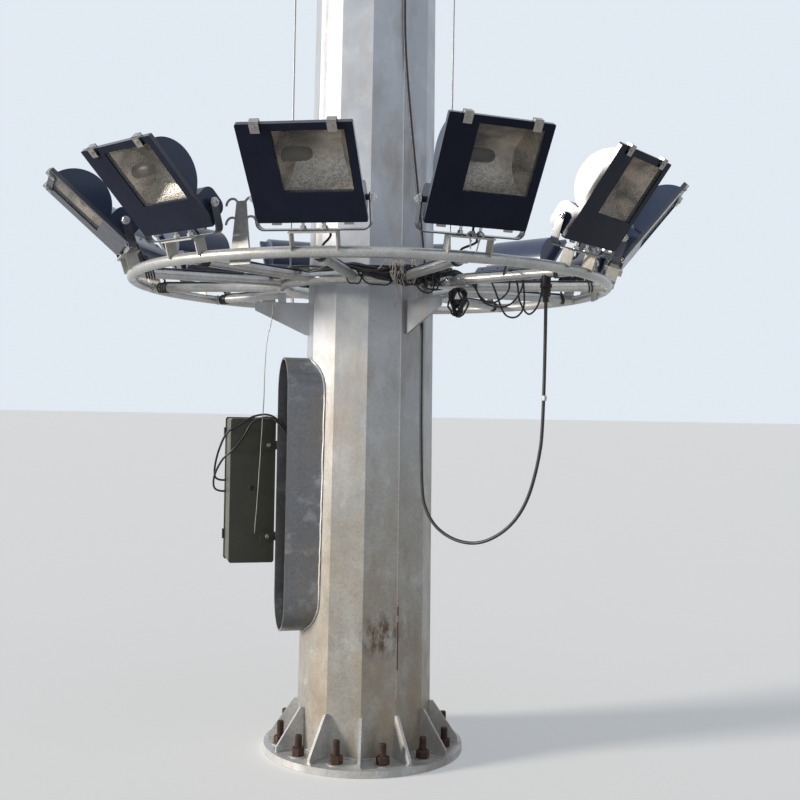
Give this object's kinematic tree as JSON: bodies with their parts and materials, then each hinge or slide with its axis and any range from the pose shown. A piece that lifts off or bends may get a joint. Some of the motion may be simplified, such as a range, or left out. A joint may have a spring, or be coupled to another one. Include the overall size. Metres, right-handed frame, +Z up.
{
  "type": "high mast floodlight tower",
  "caption": "Tall tapered steel lighting mast on a bolted base, with a hoistable ring of tilting floodlights resting low, an open door neck, a control cabinet and head pulleys.",
  "frame": {"origin": "centre of the underside of the base flange, on the mast's axis", "axes": "+Z up along the mast; -Y is the front, where a corner of the shaft faces; +X is to the right seen from the front"},
  "size_m": [2.7908, 2.8051, 21.495],
  "materials": {
    "galvanized": "dull hot-dip zinc with spangle, mud and rust specks low down",
    "weathered_steel": "zinc coated steel, stained brown",
    "bracket_paint": "dark paint, dusty",
    "lamp_black": "dark powder coat on cast aluminium",
    "lamp_glass": "clear toughened glass",
    "cabinet_paint": "grey-green paint, semi matte",
    "wire_rope": "stranded steel wire",
    "cable_sheath": "black cable sheath",
    "machinery": "grey machine paint, greasy",
    "box_plastic": "black moulded round box"
  },
  "bodies": {
    "mast": {"base_flange": "weathered_steel", "base_gussets": "weathered_steel", "cabinet_brackets": "galvanized", "control_cabinet": "cabinet_paint", "door_neck": "galvanized", "head_cheeks": "machinery", "head_hood": "galvanized", "head_plate": "galvanized", "head_pulleys": "machinery", "head_tie_plate": "galvanized", "hoist_ropes": "wire_rope", "landing_brackets": "weathered_steel", "lightning_rod": "galvanized", "power_cable_run": "cable_sheath", "shaft_door_section": "galvanized", "shaft_lower": "galvanized", "shaft_upper": "galvanized", "winch_drum": "machinery", "winch_frame": "machinery", "winch_gearbox": "machinery", "winch_rope": "wire_rope"},
    "carriage": {"outer_ring": "galvanized", "inner_ring": "galvanized", "spokes": "galvanized", "lamp_platforms": "galvanized", "lamp_stirrups": "bracket_paint", "hook_posts": "galvanized", "rope_terminals": "galvanized", "junction_box": "box_plastic", "cable_clamp": "bracket_paint", "wiring_harness": "cable_sheath", "cable_loop": "cable_sheath"},
    "floodlight_01": {"floodlight_01_housing": "lamp_black", "floodlight_01_glass": "lamp_glass"},
    "floodlight_02": {"floodlight_02_housing": "lamp_black", "floodlight_02_glass": "lamp_glass"},
    "floodlight_03": {"floodlight_03_housing": "lamp_black", "floodlight_03_glass": "lamp_glass"},
    "floodlight_04": {"floodlight_04_housing": "lamp_black", "floodlight_04_glass": "lamp_glass"},
    "floodlight_05": {"floodlight_05_housing": "lamp_black", "floodlight_05_glass": "lamp_glass"},
    "floodlight_06": {"floodlight_06_housing": "lamp_black", "floodlight_06_glass": "lamp_glass"},
    "floodlight_07": {"floodlight_07_housing": "lamp_black", "floodlight_07_glass": "lamp_glass"},
    "floodlight_08": {"floodlight_08_housing": "lamp_black", "floodlight_08_glass": "lamp_glass"},
    "floodlight_09": {"floodlight_09_housing": "lamp_black", "floodlight_09_glass": "lamp_glass"},
    "floodlight_10": {"floodlight_10_housing": "lamp_black", "floodlight_10_glass": "lamp_glass"},
    "floodlight_11": {"floodlight_11_housing": "lamp_black", "floodlight_11_glass": "lamp_glass"},
    "floodlight_12": {"floodlight_12_housing": "lamp_black", "floodlight_12_glass": "lamp_glass"}
  },
  "joints": [
    {"name": "carriage_hoist", "type": "slide", "parent": "mast", "child": "carriage", "axis": [0, 0, 1], "range_m": [0, 17.6], "deforming": ["hoist_ropes", "power_cable_run"]},
    {"name": "tilt_01", "type": "hinge", "parent": "carriage", "child": "floodlight_01", "pos_m": [-0.17422, -1.1, 2.2507], "axis": [0.9877, -0.1564, 0], "range_deg": [-40, 35]},
    {"name": "tilt_02", "type": "hinge", "parent": "carriage", "child": "floodlight_02", "pos_m": [0.39912, -1.03974, 2.2507], "axis": [0.9336, 0.3584, 0], "range_deg": [-26, 49]},
    {"name": "tilt_03", "type": "hinge", "parent": "carriage", "child": "floodlight_03", "pos_m": [0.86552, -0.70088, 2.2507], "axis": [0.6293, 0.7771, 0], "range_deg": [-30, 45]},
    {"name": "tilt_04", "type": "hinge", "parent": "carriage", "child": "floodlight_04", "pos_m": [1.1, -0.17422, 2.2507], "axis": [0.1564, 0.9877, 0], "range_deg": [-32, 43]},
    {"name": "tilt_05", "type": "hinge", "parent": "carriage", "child": "floodlight_05", "pos_m": [1.03974, 0.39912, 2.2507], "axis": [-0.3584, 0.9336, 0], "range_deg": [-35, 40]},
    {"name": "tilt_06", "type": "hinge", "parent": "carriage", "child": "floodlight_06", "pos_m": [0.70088, 0.86552, 2.2507], "axis": [-0.7771, 0.6293, 0], "range_deg": [-37, 38]},
    {"name": "tilt_07", "type": "hinge", "parent": "carriage", "child": "floodlight_07", "pos_m": [0.17422, 1.1, 2.2507], "axis": [-0.9877, 0.1564, 0], "range_deg": [-34, 41]},
    {"name": "tilt_08", "type": "hinge", "parent": "carriage", "child": "floodlight_08", "pos_m": [-0.39912, 1.03974, 2.2507], "axis": [-0.9336, -0.3584, 0], "range_deg": [-36, 39]},
    {"name": "tilt_09", "type": "hinge", "parent": "carriage", "child": "floodlight_09", "pos_m": [-0.86552, 0.70088, 2.2507], "axis": [-0.6293, -0.7771, 0], "range_deg": [-33, 42]},
    {"name": "tilt_10", "type": "hinge", "parent": "carriage", "child": "floodlight_10", "pos_m": [-1.1, 0.17422, 2.2507], "axis": [-0.1564, -0.9877, 0], "range_deg": [-38, 37]},
    {"name": "tilt_11", "type": "hinge", "parent": "carriage", "child": "floodlight_11", "pos_m": [-1.03974, -0.39912, 2.2507], "axis": [0.3584, -0.9336, 0], "range_deg": [-42, 33]},
    {"name": "tilt_12", "type": "hinge", "parent": "carriage", "child": "floodlight_12", "pos_m": [-0.70088, -0.86552, 2.2507], "axis": [0.7771, -0.6293, 0], "range_deg": [-41, 34]}
  ]
}
